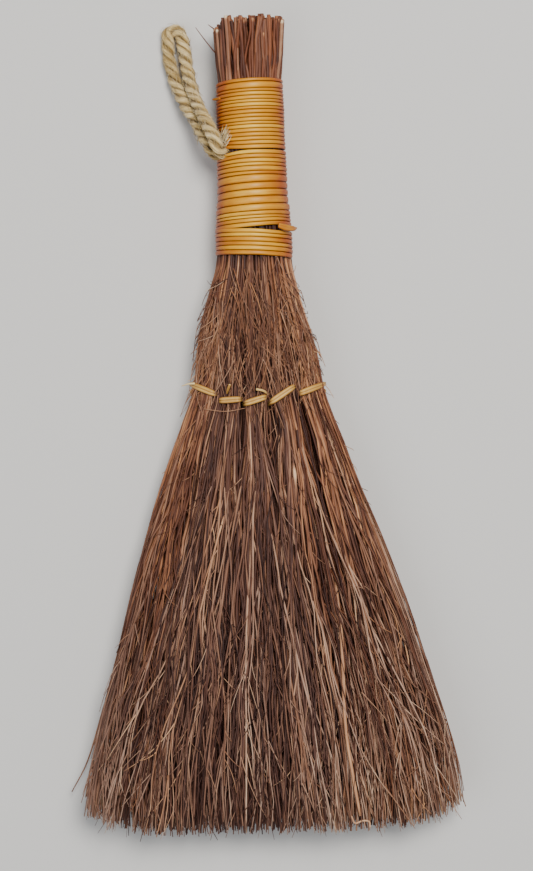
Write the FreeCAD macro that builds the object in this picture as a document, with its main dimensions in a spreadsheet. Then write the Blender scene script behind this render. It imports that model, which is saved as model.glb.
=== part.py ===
# A twig hand broom, 305 mm long, lying flat on its back.
#
# A tight bundle of fine twigs is bound into a round handle by three stretches of split cane.
# Below the handle the twigs fan out flat.  A row of cane stitches, two strands that twine over
# and under five bunches, holds the fan flat.  A hanging loop of laid rope comes out of the slit
# between the upper two cane stretches.
#
# Frame (millimetres): +Y along the broom towards the butt, +X across the fan, +Z up.
# The origin is under the middle of the broom, on the surface that it lies on.
import FreeCAD, Part
import math
import os
import Sketcher

V = FreeCAD.Vector
doc = FreeCAD.newDocument("TwigHandBroom")

# ---------------------------------------------------------------- driving dimensions (mm, degrees)
DIMS = {
    "half_length": 152.5,        # half of the broom's length
    "axis_height": 14.45,        # height of the handle's axis above the surface
    # handle bundle and its cane
    "butt_radius": 12.9,
    "bundle_radius_top": 12.0,
    "bundle_radius_slit": 12.6,
    "bundle_radius_step": 13.1,
    "bundle_radius_bottom": 13.25,
    "binding_top": 129.3,
    "slit_middle": 101.85,
    "slit_width": 4.9,
    "step_middle": 74.4,
    "step_width": 2.5,
    "binding_bottom": 62.9,
    "cane_clearance": 0.1,
    "cane_thickness": 1.1,
    "fine_pitch": 1.39,
    "fine_strand": 1.30,
    "wide_pitch": 1.93,
    "wide_strand": 1.83,
    "lower_pitch": 1.69,
    "lower_strand": 1.60,
    "binding_taper": 1.0,
    "cane_end_length": 4.6,
    "cane_end_width": 2.2,
    "cane_end_thickness": 1.0,
    # five bunches
    "handle_bunch_width": 5.1,
    "divider_1": -15.2,          # gaps between the bunches at the stitch row
    "divider_2": -5.9,
    "divider_3": 3.5,
    "divider_4": 14.6,
    "row_middle": 11.0,
    "row_half_height": 6.0,
    "row_gap": 1.4,
    "handle_gap": 0.1,
    "bunch_gap": 1.0,
    "fan_spread": 2.8,           # width of a bunch at the tips over its width at the stitch row
    "fan_side": 80.0,            # beyond the fan's widest point
    "corner_rise": 12.5,         # the fan's corners end this much short of its middle
    "shoulder_rise": 2.5,
    # flex line under the stitches
    "flex_line": 3.0,
    "flex_gap": 0.8,
    "flex_notch": 22.0,          # the notch above the flex line leaves room for 20 degrees
    "notch_foot": 0.2,           # the notch starts this far below the handle's axis
    "notch_height": 12.0,
    # stitches
    "stitch_width": 2.0,
    "stitch_thickness": 0.9,
    "stitch_clearance": 0.3,
    "stitch_bend": 0.9,
    # rope
    "rope_diameter": 4.5,
    "rope_mouth": 14.0,          # distance from the handle's axis to the mouth of the slit
    "rope_depth": 9.5,           # distance from the handle's axis to the buried ends
    "rope_angle_front": 53.0,    # where each leg leaves the handle, from straight up to the left
    "rope_angle_side": 76.0,
    "rope_hole_clearance": 0.2,
    # block that trims the fan at the surface
    "floor_depth": 20.0,
}

# Sections of the twigs from butt to tips: place along Y, half width, half thickness, centre height.
SECTIONS = [
    ("butt", "half_length", "butt_radius", "butt_radius", "axis_height"),
    ("top", "binding_top", "bundle_radius_top", "bundle_radius_top", "axis_height"),
    ("slit", "slit_middle", "bundle_radius_slit", "bundle_radius_slit", "axis_height"),
    ("step", "step_middle", "bundle_radius_step", "bundle_radius_step", "axis_height"),
    ("neck", "binding_bottom", "bundle_radius_bottom", "bundle_radius_bottom", "axis_height"),
    ("shoulder_a", 46.8, 17.0, 12.3, 14.45),
    ("shoulder_b", 31.8, 21.3, 10.3, 14.45),
    ("row", 14.9, 24.9, 7.8, 14.45),
    ("fan_a", -2.0, 30.3, 7.6, 14.45),
    ("fan_b", -28.0, 40.0, 8.8, 14.4),
    ("fan_c", -66.0, 52.9, 10.4, 14.1),
    ("fan_d", -103.0, 63.0, 12.1, 13.8),
    ("fan_e", -141.0, 70.5, 13.8, 13.4),
    ("tips", "-half_length", 72.0, 14.1, 13.3),
]

# Y of each stitch strand at the left edge, at the four gaps and at the right edge.
STITCH_A_HEIGHTS = (15.6, 11.6, 7.7, 10.4, 10.6, 14.2)
STITCH_B_HEIGHTS = (13.0, 9.2, 10.2, 7.8, 14.2, 11.8)

FULL_CIRCLE = 2 * math.pi
CORNER_SHARE = 0.45          # the part of a route's shorter run that its corner's arc may take
VOLUME_TOLERANCE = 0.02      # between a swept tube's volume and its section times its length

sheet = doc.addObject("Spreadsheet::Sheet", "Dims")


def fill_sheet():
    """Write every driving dimension and section size to the sheet, one alias each."""
    row = 1
    for alias, value in DIMS.items():
        sheet.set("A%d" % row, alias)
        sheet.set("B%d" % row, str(value))
        sheet.setAlias("B%d" % row, alias)
        row += 1
    for name, place, half_width, half_thickness, height in SECTIONS:
        sizes = {"place": place, "width": half_width, "thickness": half_thickness, "height": height}
        for kind, value in sizes.items():
            if isinstance(value, str):
                continue
            alias = "%s_%s" % (name, kind)
            sheet.set("A%d" % row, alias)
            sheet.set("B%d" % row, str(value))
            sheet.setAlias("B%d" % row, alias)
            row += 1
    doc.recompute()


def dim(alias):
    """A driving dimension, read from the sheet."""
    return float(sheet.get(alias))


def cell(name, kind, value):
    """The expression for one section size: a shared dimension or the section's own cell."""
    if isinstance(value, str):
        sign = "-" if value.startswith("-") else ""
        return sign + "Dims." + value.lstrip("-")
    return "Dims.%s_%s" % (name, kind)


def origin_plane(body, role):
    return next(item for item in body.Origin.OriginFeatures if item.Role == role)


def body_with_outline(name, plane, corners):
    """A body with one closed polygon whose corners are expressions (along, up) in its sketch."""
    body = doc.addObject("PartDesign::Body", name)
    sketch = body.newObject("Sketcher::SketchObject", name + "_outline")
    sketch.AttachmentSupport = [(origin_plane(body, plane), "")]
    sketch.MapMode = "FlatFace"
    count = len(corners)
    angles = [FULL_CIRCLE * i / count for i in range(count)]
    start = [V(math.cos(angle), math.sin(angle), 0) for angle in angles]
    for i in range(count):
        sketch.addGeometry(Part.LineSegment(start[i], start[(i + 1) % count]))
    for i in range(count):
        sketch.addConstraint(Sketcher.Constraint("Coincident", i, 2, (i + 1) % count, 1))
    for i, (along, up) in enumerate(corners):
        number = sketch.addConstraint(Sketcher.Constraint("DistanceX", -1, 1, i, 1, start[i].x))
        sketch.setExpression("Constraints[%d]" % number, along)
        number = sketch.addConstraint(Sketcher.Constraint("DistanceY", -1, 1, i, 1, start[i].y))
        sketch.setExpression("Constraints[%d]" % number, up)
    return body, sketch


def prism(name, plane, corners, length, symmetric=True):
    """A pad of a polygon, centred on its sketch plane."""
    body, sketch = body_with_outline(name, plane, corners)
    pad = body.newObject("PartDesign::Pad", name + "_pad")
    pad.Profile = sketch
    pad.setExpression("Length", length)
    if symmetric:
        pad.SideType = "Symmetric"
    return body


def boolean(kind, name, base, tool):
    result = doc.addObject("Part::" + kind, name)
    result.Base = base
    result.Tool = tool
    return result


# ---------------------------------------------------------------- the twigs' outer shape
def twig_envelope():
    """A loft of ellipses from the round butt to the flat, wide tips."""
    ellipses = []
    for name, place, half_width, half_thickness, height in SECTIONS:
        ellipse = doc.addObject("Part::Ellipse", "section_" + name)
        ellipse.setExpression("MajorRadius", cell(name, "width", half_width))
        ellipse.setExpression("MinorRadius", cell(name, "thickness", half_thickness))
        ellipse.Placement = FreeCAD.Placement(V(0, 0, 0), FreeCAD.Rotation(V(1, 0, 0), 90))
        ellipse.setExpression(".Placement.Base.y", cell(name, "place", place))
        ellipse.setExpression(".Placement.Base.z", cell(name, "height", height))
        ellipses.append(ellipse)
    loft = doc.addObject("Part::Loft", "twig_envelope")
    loft.Sections = ellipses
    loft.Solid = True
    loft.Ruled = True
    return loft


def divider(number, place):
    """The X of the line between two bunches, in the handle, at the stitch row or at the tips."""
    if number == 0:
        return "-Dims.fan_side"
    if number == 5:
        return "Dims.fan_side"
    if place == "handle":
        return "Dims.handle_bunch_width * %.1f" % (number - 2.5)
    if place == "row":
        return "Dims.divider_%d" % number
    return "Dims.divider_%d * Dims.fan_spread" % number


def beside(number, place, side, gap):
    """The divider's X, moved half a gap to one side; the outer sides have no gap."""
    if number in (0, 5):
        return divider(number, place)
    return "%s %s Dims.%s / 2" % (divider(number, place), side, gap)


def upper_bunches(envelope):
    """The five bunches from the butt to just under the stitches, with gaps for the strands."""
    row_top = "Dims.row_middle + Dims.row_half_height"
    end = "Dims.flex_line + Dims.flex_gap / 2"
    stations = [
        ("Dims.half_length + 5", "handle", "handle_gap"),
        ("Dims.binding_bottom", "handle", "handle_gap"),
        (row_top, "row", "row_gap"),
        (end, "row", "row_gap"),
    ]
    bunches = []
    for k in range(1, 6):
        right = [(beside(k, place, "-", gap), y) for y, place, gap in stations]
        left = [(beside(k - 1, place, "+", gap), y) for y, place, gap in reversed(stations)]
        plan = prism("upper_plan_%d" % k, "XY_Plane", right + left, "Dims.half_length")
        bunches.append(boolean("Common", "upper_twigs_%d" % k, envelope, plan))
    return bunches


def fan_trimming_tools():
    """The space below the surface, and the notch above the flex line."""
    floor = doc.addObject("Part::Box", "below_surface")
    floor.setExpression("Length", "2 * Dims.fan_side")
    floor.setExpression("Width", "4 * Dims.half_length")
    floor.setExpression("Height", "Dims.floor_depth")
    floor.setExpression(".Placement.Base.x", "-Dims.fan_side")
    floor.setExpression(".Placement.Base.y", "-2 * Dims.half_length")
    floor.setExpression(".Placement.Base.z", "-Dims.floor_depth")
    edge = "Dims.flex_line - Dims.flex_gap / 2"
    top = "Dims.axis_height + Dims.notch_height"
    notch = prism("flex_notch_tool", "YZ_Plane", [
        (edge, "Dims.axis_height - Dims.notch_foot"),
        (edge, top),
        (edge + " - Dims.notch_height * tan(Dims.flex_notch * 1deg)", top),
    ], "2 * Dims.fan_side")
    return floor, notch


def lower_bunches(envelope):
    """The five bunches of the fan from the flex line to the tips; the tips' edge is convex."""
    near = "Dims.flex_line - Dims.flex_gap / 2"
    tips = "-Dims.half_length"
    rises = ["Dims.corner_rise", "Dims.shoulder_rise", "0", "0", "Dims.shoulder_rise",
             "Dims.corner_rise"]
    floor, notch = fan_trimming_tools()
    bunches = []
    for k in range(1, 6):
        left_end = "%s + %s" % (tips, rises[k - 1])
        right_end = "%s + %s" % (tips, rises[k])
        corners = [
            (beside(k, "row", "-", "bunch_gap"), near),
            (beside(k - 1, "row", "+", "bunch_gap"), near),
            (beside(k - 1, "tips", "+", "bunch_gap"), left_end),
            (beside(k, "tips", "-", "bunch_gap"), right_end),
        ]
        plan = prism("fan_plan_%d" % k, "XY_Plane", corners, "Dims.half_length")
        rested = boolean("Cut", "fan_plan_rested_%d" % k, plan, floor)
        notched = boolean("Cut", "fan_plan_notched_%d" % k, rested, notch)
        bunches.append(boolean("Common", "fan_bunch_%d" % k, envelope, notched))
    return bunches


# ---------------------------------------------------------------- the cane binding
def cane_winding(name, bottom, top, radius, pitch, strand, left_handed):
    """One stretch of split cane wound round the bundle, its strand flat inside, rounded outside."""
    flank_share = 0.55
    crown_start = 0.25
    crown_end = 0.75
    foot = "Dims.%s + Dims.cane_clearance" % radius
    crown = foot + " + Dims.cane_thickness"
    flank = foot + " + %.2f * Dims.cane_thickness" % flank_share
    corners = [
        (foot, bottom),
        (flank, bottom),
        (crown, "%s + %.2f * Dims.%s" % (bottom, crown_start, strand)),
        (crown, "%s + %.2f * Dims.%s" % (bottom, crown_end, strand)),
        (flank, "%s + Dims.%s" % (bottom, strand)),
        (foot, "%s + Dims.%s" % (bottom, strand)),
    ]
    body, sketch = body_with_outline(name, "XY_Plane", corners)
    helix = body.newObject("PartDesign::AdditiveHelix", name + "_helix")
    helix.Profile = sketch
    helix.ReferenceAxis = (sketch, ["V_Axis"])
    helix.Mode = "pitch-height-angle"
    helix.LeftHanded = left_handed
    helix.setExpression("Pitch", "Dims." + pitch)
    helix.setExpression("Height", "%s - (%s) - Dims.%s" % (top, bottom, strand))
    helix.setExpression("Angle", "-Dims.binding_taper")
    body.setExpression(".Placement.Base.z", "Dims.axis_height")
    return body


def cane_bindings():
    slit_top = "Dims.slit_middle + Dims.slit_width / 2"
    slit_bottom = "Dims.slit_middle - Dims.slit_width / 2"
    step_top = "Dims.step_middle + Dims.step_width / 2"
    step_bottom = "Dims.step_middle - Dims.step_width / 2"
    return [
        cane_winding("binding_upper", slit_top, "Dims.binding_top", "bundle_radius_slit",
                     "fine_pitch", "fine_strand", False),
        cane_winding("binding_middle", step_top, slit_bottom, "bundle_radius_step",
                     "wide_pitch", "wide_strand", False),
        cane_winding("binding_lower", "Dims.binding_bottom", step_bottom, "bundle_radius_bottom",
                     "lower_pitch", "lower_strand", True),
    ]


def cane_end():
    """The cut end of the cane that sticks out to the right at the step between two stretches."""
    end = doc.addObject("Part::Box", "cane_end")
    end.setExpression("Length", "Dims.cane_end_length")
    end.setExpression("Width", "Dims.cane_end_width")
    end.setExpression("Height", "Dims.cane_end_thickness")
    end.setExpression(".Placement.Base.x", "Dims.bundle_radius_step + Dims.cane_clearance")
    end.setExpression(".Placement.Base.y", "Dims.step_middle - Dims.cane_end_width / 2")
    end.setExpression(".Placement.Base.z", "Dims.axis_height")
    return end


# ---------------------------------------------------------------- swept strands
def rounded_route(points, largest_radius=None):
    """Straight runs joined by tangent arcs: the wire and its arcs' radii."""
    edges = []
    radii = []
    here = points[0]
    for before, corner, after in zip(points, points[1:], points[2:]):
        inward = (corner - before).normalize()
        outward = (after - corner).normalize()
        turn = inward.getAngle(outward)
        run = min((corner - before).Length, (after - corner).Length)
        radius = CORNER_SHARE * run / math.tan(turn / 2)
        if largest_radius is not None:
            radius = min(radius, largest_radius)
        reach = radius * math.tan(turn / 2)
        arc_start = corner - inward * reach
        arc_end = corner + outward * reach
        bisector = (outward - inward).normalize()
        middle = corner + bisector * (radius / math.cos(turn / 2) - radius)
        edges.append(Part.LineSegment(here, arc_start).toShape())
        edges.append(Part.Arc(arc_start, middle, arc_end).toShape())
        radii.append(radius)
        here = arc_end
    edges.append(Part.LineSegment(here, points[-1]).toShape())
    return Part.Wire(edges), radii


def bunch_surface(x, side):
    """The height of the twigs' front (+1) or back (-1) at x in the stitch row, and the row's
    half width."""
    share = (dim("row_place") - dim("row_middle")) / (dim("row_place") - dim("fan_a_place"))
    half_width = dim("row_width") + share * (dim("fan_a_width") - dim("row_width"))
    half_thickness = dim("row_thickness") + share * (dim("fan_a_thickness") - dim("row_thickness"))
    inside = max(0.0, 1.0 - (x / half_width) ** 2)
    return dim("axis_height") + side * half_thickness * math.sqrt(inside), half_width


def stitch_route(first_side, heights):
    """Over one bunch, through the gap, under the next; heights are its Y at the edges and gaps."""
    offset = dim("stitch_thickness") / 2 + dim("stitch_clearance")
    shoulder_offset = 1.6 * offset
    slope_in = 0.90
    slope_out = 0.70
    gaps = [dim("divider_%d" % number) for number in range(1, 5)]
    edge = bunch_surface(0.0, first_side)[1] + offset
    side = first_side
    points = [V(-edge, heights[0], dim("axis_height"))]
    for share in (slope_in, slope_out):
        x = -edge * share
        points.append(V(x, heights[0], bunch_surface(x, side)[0] + side * shoulder_offset))
    for x, y in zip(gaps, heights[1:5]):
        points.append(V(x, y, bunch_surface(x, side)[0] + side * offset))
        side = -side
        points.append(V(x, y, bunch_surface(x, side)[0] + side * offset))
    for share in (slope_out, slope_in):
        x = edge * share
        points.append(V(x, heights[5], bunch_surface(x, side)[0] + side * shoulder_offset))
    points.append(V(edge, heights[5], dim("axis_height")))
    return points


def stitch(name, first_side, heights):
    """A flat cane strand, its width along the broom, swept along its twining route."""
    wire, _ = rounded_route(stitch_route(first_side, heights), dim("stitch_bend"))
    start = wire.OrderedVertexes[0].Point
    half_width = dim("stitch_width") / 2
    half_thickness = dim("stitch_thickness") / 2
    profile = Part.makePolygon([
        start + V(-half_thickness, -half_width, 0),
        start + V(half_thickness, -half_width, 0),
        start + V(half_thickness, half_width, 0),
        start + V(-half_thickness, half_width, 0),
        start + V(-half_thickness, -half_width, 0),
    ])
    sweep = Part.BRepOffsetAPI.MakePipeShell(wire)
    sweep.setBiNormalMode(V(0, 1, 0))
    sweep.add(profile)
    sweep.build()
    sweep.makeSolid()
    strand = doc.addObject("Part::Feature", name)
    strand.Shape = sweep.shape()
    return strand


# The hanging loop, from the front leg's exit round the bight to the side leg's exit.  The legs
# start over the slit, come down beside the handle and lie on the surface at the bight.
LOOP_ROUTE = [
    (-13.4, 101.6, 24.9),
    (-14.2, 105.6, 24.6),
    (-15.4, 111.0, 22.4),
    (-17.6, 117.4, 18.4),
    (-20.4, 124.6, 13.2),
    (-22.7, 132.0, 8.4),
    (-23.6, 139.8, 4.8),
    (-23.5, 148.3, 3.0),
    (-32.2, 148.2, 2.6),
    (-31.8, 139.8, 3.4),
    (-29.2, 131.6, 5.8),
    (-25.2, 123.2, 9.8),
    (-21.6, 115.6, 13.6),
    (-19.4, 109.2, 16.6),
    (-18.1, 104.8, 18.2),
    (-17.0, 101.6, 18.8),
]


def hanging_loop():
    """A round tube along the loop's route."""
    points = [V(*point) for point in LOOP_ROUTE]
    wire, radii = rounded_route(points)
    radius = dim("rope_diameter") / 2
    start_direction = (points[1] - points[0]).normalize()
    circle = Part.Wire(Part.makeCircle(radius, points[0], start_direction))
    tube = wire.makePipeShell([circle], True, True)
    loop = doc.addObject("Part::Feature", "hanging_loop")
    loop.Shape = tube
    expected = math.pi * radius ** 2 * wire.Length
    print("loop length %.1f, volume %.1f, section x length %.1f" % (
        wire.Length, tube.Volume, expected))
    print("loop arc radii", ["%.1f" % value for value in radii])
    if abs(tube.Volume - expected) > VOLUME_TOLERANCE * expected:
        raise RuntimeError("the loop's volume differs from its section times its length")
    return loop


def rope_stub(name, angle, extra):
    """One buried rope end, a round stub square to the handle; extra widens it for its hole."""
    stub = doc.addObject("Part::Cylinder", name)
    stub.setExpression("Radius", "Dims.rope_diameter / 2 + %s" % extra)
    stub.setExpression("Height", "Dims.rope_mouth - Dims.rope_depth + %s" % extra)
    stub.Placement = FreeCAD.Placement(V(0, 0, 0), FreeCAD.Rotation(V(0, 1, 0), -dim(angle)))
    depth = "(Dims.rope_depth - %s)" % extra
    stub.setExpression(".Placement.Base.x", "-%s * sin(Dims.%s * 1deg)" % (depth, angle))
    stub.setExpression(".Placement.Base.y", "Dims.slit_middle")
    stub.setExpression(".Placement.Base.z",
                       "Dims.axis_height + %s * cos(Dims.%s * 1deg)" % (depth, angle))
    return stub


def rope_ends(bunches):
    """The loop's two buried ends, and the two outer bunches with holes for them."""
    angles = ("rope_angle_front", "rope_angle_side")
    ends = doc.addObject("Part::Compound", "rope_ends")
    ends.Links = [rope_stub("rope_stub_%d" % i, angle, "0") for i, angle in enumerate(angles)]
    drilled = list(bunches)
    for index in (0, 1):
        for i, angle in enumerate(angles):
            tool = rope_stub("rope_hole_%d_%d" % (index, i), angle, "Dims.rope_hole_clearance")
            drilled[index] = boolean("Cut", "drilled_%d_%d" % (index, i), drilled[index], tool)
    return ends, drilled


# ---------------------------------------------------------------- build, check and write
def checked(parts):
    """Stop at any failed object, and at any sub-part whose shape is null or not valid."""
    doc.recompute()
    for item in doc.Objects:
        if "Invalid" in item.State or "Error" in item.State:
            raise RuntimeError("%s failed: %s" % (item.Name, item.State))
    for node, item in parts.items():
        shape = item.Shape
        if shape.isNull() or not shape.isValid() or not shape.Solids:
            raise RuntimeError("%s has no valid solid" % node)
        box = shape.BoundBox
        print("%-18s solids %d volume %9.1f  x %7.1f %7.1f  y %7.1f %7.1f  z %6.1f %6.1f" % (
            node, len(shape.Solids), shape.Volume, box.XMin, box.XMax, box.YMin, box.YMax,
            box.ZMin, box.ZMax))


def main():
    fill_sheet()
    envelope = twig_envelope()
    ends, upper = rope_ends(upper_bunches(envelope))
    lower = lower_bunches(envelope)
    parts = {"upper_bunch_%d" % (k + 1): bunch for k, bunch in enumerate(upper)}
    parts.update({"fan_bunch_%d" % (k + 1): bunch for k, bunch in enumerate(lower)})
    parts.update({body.Name: body for body in cane_bindings()})
    parts["cane_end"] = cane_end()
    parts["rope_ends"] = ends
    doc.recompute()
    parts["stitch_cane_a"] = stitch("stitch_cane_a", 1, STITCH_A_HEIGHTS)
    parts["stitch_cane_b"] = stitch("stitch_cane_b", -1, STITCH_B_HEIGHTS)
    parts["hanging_loop"] = hanging_loop()
    for node, item in parts.items():
        item.Label = node
    checked(parts)
    os.makedirs("parts", exist_ok=True)
    for node, item in parts.items():
        item.Shape.exportStep("parts/%s.step" % node)


main()
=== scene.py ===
"""A twig hand broom lying on its back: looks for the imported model, in metres, in its frame."""
import math
from dataclasses import dataclass

import bpy
import numpy as np
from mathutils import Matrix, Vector


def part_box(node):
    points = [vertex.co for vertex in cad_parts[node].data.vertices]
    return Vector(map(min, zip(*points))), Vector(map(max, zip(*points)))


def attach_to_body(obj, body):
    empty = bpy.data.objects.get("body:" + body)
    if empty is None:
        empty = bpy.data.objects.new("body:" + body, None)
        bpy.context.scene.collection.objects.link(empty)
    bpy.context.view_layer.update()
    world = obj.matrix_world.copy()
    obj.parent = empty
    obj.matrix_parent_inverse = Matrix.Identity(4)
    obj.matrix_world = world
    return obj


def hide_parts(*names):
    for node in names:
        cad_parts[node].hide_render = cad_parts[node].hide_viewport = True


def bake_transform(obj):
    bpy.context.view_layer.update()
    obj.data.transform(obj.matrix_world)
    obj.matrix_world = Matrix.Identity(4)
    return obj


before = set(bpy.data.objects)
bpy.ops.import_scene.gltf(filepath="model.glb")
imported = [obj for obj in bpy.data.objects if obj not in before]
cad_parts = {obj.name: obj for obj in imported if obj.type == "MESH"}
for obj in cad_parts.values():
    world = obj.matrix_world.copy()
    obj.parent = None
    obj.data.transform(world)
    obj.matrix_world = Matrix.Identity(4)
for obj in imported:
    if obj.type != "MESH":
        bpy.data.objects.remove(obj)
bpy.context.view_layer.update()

MM = 0.001
TAU = 2 * math.pi
BUNCHES = 5
SEEDS = {"fan": 11, "bunch": 100, "butt": 5, "bindings": 21, "cane_ends": 23, "stitches": 31,
         "rope": 41, "frayed": 43}


def seeded(part, more=0):
    return np.random.default_rng(SEEDS[part] + more)


# ---- places taken from the model
NECK_LOW, NECK_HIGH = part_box("binding_lower")
BINDING_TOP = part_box("binding_upper")[1][1] / MM
AXIS = (NECK_LOW[2] + NECK_HIGH[2]) / 2 / MM
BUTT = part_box("upper_bunch_3")[1][1] / MM
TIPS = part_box("fan_bunch_3")[0][1] / MM
TAIL_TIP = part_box("cane_end")[1][0] / MM - 1.9  # X where the cane's cut end stops

# The twigs' outline in mm: Y, half width to the left and right, half thickness, middle's height.
OUTLINE = np.array([
    (-160.0, 69.5, 72.5, 14.1, 13.5), (-142.0, 68.3, 71.3, 13.8, 13.6),
    (-130.0, 66.7, 69.7, 13.3, 13.7), (-113.0, 63.0, 66.2, 12.6, 13.8),
    (-98.0, 59.2, 61.6, 11.9, 13.9), (-72.0, 52.3, 54.5, 10.7, 14.1),
    (-48.0, 45.9, 46.3, 9.6, 14.3), (-22.0, 37.8, 36.6, 8.4, AXIS),
    (-8.0, 33.2, 32.2, 7.8, AXIS), (4.0, 28.8, 27.6, 7.6, AXIS),
    (12.0, 25.2, 25.0, 7.7, AXIS), (21.0, 23.8, 23.9, 8.8, AXIS),
    (32.0, 22.5, 21.6, 10.4, AXIS), (41.0, 20.6, 18.6, 11.6, AXIS),
    (52.0, 17.0, 15.7, 12.6, AXIS), (60.0, 14.0, 13.6, 13.1, AXIS),
    (66.0, 13.1, 13.0, 13.0, AXIS), (76.0, 12.5, 12.5, 12.5, AXIS),
    (84.0, 11.9, 11.9, 11.9, AXIS), (118.0, 11.3, 11.3, 11.3, AXIS),
])
ROW = 11.0  # Y of the row of stitches
ROW_LEFT, ROW_RIGHT = 25.0, 24.8
ROW_THICKNESS = 7.8
DIVIDERS = (-15.2, -5.9, 3.5, 14.6)  # gaps between the bunches at the row

# The twigs' common places along the broom, from inside the binding to past the tips.
GRID = np.arange(118.0, TIPS - 6, -2.0)
SMOOTHING = 7  # mm to each side


def smoothed(column):
    """One column of the outline at every place of the grid, without corners."""
    margin = 12
    fine = np.arange(GRID[-1] - margin, GRID[0] + margin, 1.0)
    values = np.interp(fine, OUTLINE[:, 0], OUTLINE[:, column])
    kernel = np.hanning(2 * SMOOTHING + 1)
    kernel /= kernel.sum()
    soft = np.convolve(np.pad(values, SMOOTHING, mode="edge"), kernel, mode="valid")
    return np.interp(GRID, fine, soft)


def along_grid(y, column):
    """A value that is known on the grid, at any other Y."""
    return np.interp(-y, -GRID, column)


def evenly(values, count):
    """A few values at even steps, filled in to count of them."""
    return np.interp(np.linspace(0, 1, count), np.linspace(0, 1, len(values)), values)


def smoothstep(low, high, x):
    t = np.clip((x - low) / (high - low), 0, 1)
    return t * t * (3 - 2 * t)


LEFT, RIGHT, THICK, CENTRE = (smoothed(i) for i in (1, 2, 3, 4))
PULL = smoothstep(34, 13, GRID) * smoothstep(-46, -1, GRID)  # how much the stitches pull in
SPREAD = smoothstep(62, -80, GRID)  # how loose the twigs are
CALM = 1 - 0.85 * np.exp(-((GRID - ROW) / 9) ** 2)  # low where the stitches hold
TIED = smoothstep(62, 52, GRID)  # 0 inside the binding, else 1


# ---- meshes made of strands
def place_in_scene(name, data):
    thing = bpy.data.objects.new(name, data)
    bpy.context.scene.collection.objects.link(thing)
    return thing


def attach(piece, slot, *nodes):
    """Fix a piece to the handle, in place of the nodes it stands for."""
    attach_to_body(piece, "handle")
    if nodes:
        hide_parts(*nodes)


def unit(vectors):
    return vectors / np.maximum(np.linalg.norm(vectors, axis=-1, keepdims=True), 1e-9)


def tangents(path):
    return unit(np.gradient(np.asarray(path, float), axis=0))


class Strands:
    """Many strands in one mesh, with a tone and a tint for each and fibre coordinates."""

    def __init__(self, name):
        self.name = name
        self.points = []
        self.faces = []
        self.values = {"tone": [], "rim": [], "tint": [], "grain": []}
        self.count = 0

    def add(self, path, side, up, outline, half_side, half_up, tone, seed, tint=(1, 1, 1)):
        """Sweep outline (unit points, one set or one a ring) along path, in mm."""
        path = np.asarray(path, float)
        rings = len(path)
        outline = np.asarray(outline, float)
        if outline.ndim == 2:
            outline = np.broadcast_to(outline, (rings, *outline.shape))
        sides = outline.shape[1]
        across = outline[:, :, 0] * np.broadcast_to(half_side, rings)[:, None]
        above = outline[:, :, 1] * np.broadcast_to(half_up, rings)[:, None]
        points = (path[:, None, :] + across[:, :, None] * side[:, None]
                  + above[:, :, None] * up[:, None])
        steps = np.linalg.norm(np.diff(path, axis=0), axis=1)
        along = np.concatenate([[0], np.cumsum(steps)])
        along = np.broadcast_to(along[:, None], (rings, sides))
        grain = np.stack([across + seed * 13.7, above + seed * 7.3, along + seed * 31.1], axis=2)
        ring = np.arange(sides)
        base = self.count + np.arange(rings - 1)[:, None] * sides
        a = base + ring
        b = base + (ring + 1) % sides
        quads = np.stack([a, b, b + sides, a + sides], axis=2).reshape(-1, 4)
        self.faces.extend(quads.tolist())
        self.faces.append((self.count + ring[::-1]).tolist())
        self.faces.append((self.count + (rings - 1) * sides + ring).tolist())
        self.points.append(points.reshape(-1, 3))
        self.values["grain"].append(grain.reshape(-1, 3))
        self.values["tone"].append(np.repeat(np.broadcast_to(tone, rings), sides))
        self.values["rim"].append(np.abs(outline[:, :, 0]).ravel())
        self.values["tint"].append(np.repeat(np.broadcast_to(tint, (rings, 3)), sides, axis=0))
        self.count += rings * sides

    def tube(self, path, radius, sides, tone, seed, tint=(1, 1, 1), pale_end=False):
        """A round strand; pale_end gives it a clean, pale cut at its far end."""
        path = np.asarray(path, float)
        radius = np.broadcast_to(radius, len(path)).astype(float)
        tone = np.broadcast_to(tone, len(path)).astype(float)
        tint = np.broadcast_to(tint, (len(path), 3))
        if pale_end:
            ahead = unit(path[-1] - path[-2]) * 0.06
            path = np.vstack([path, path[-1] + ahead])
            radius = np.append(radius, radius[-1] * 0.8)
            tone = np.append(tone, 0.95)
            tint = np.vstack([tint, tint[-1]])
        tangent = tangents(path)
        side = unit(np.cross(tangent, [0.12, 0.05, 1.0]))
        up = np.cross(side, tangent)
        angles = np.arange(sides) * TAU / sides
        outline = np.stack([np.cos(angles), -np.sin(angles)], axis=1)
        self.add(path, side, up, outline, radius, radius, tone, seed, tint)

    def build(self, material):
        mesh = bpy.data.meshes.new(self.name)
        mesh.from_pydata((np.concatenate(self.points) * MM).tolist(), [], self.faces)
        mesh.polygons.foreach_set("use_smooth", [True] * len(mesh.polygons))
        for name, chunks in self.values.items():
            data = np.concatenate(chunks).astype(np.float32)
            vector = data.ndim == 2
            layer = mesh.attributes.new(name, "FLOAT_VECTOR" if vector else "FLOAT", "POINT")
            layer.data.foreach_set("vector" if vector else "value", data.ravel())
        mesh.update()
        mesh.materials.append(material)
        return place_in_scene(self.name, mesh)


# ---- materials
def srgb(r, g, b):
    """An 8-bit screen colour as a linear one."""
    values = [c / 255 for c in (r, g, b)]
    return tuple(c / 12.92 if c <= 0.04045 else ((c + 0.055) / 1.055) ** 2.4 for c in values)


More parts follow.
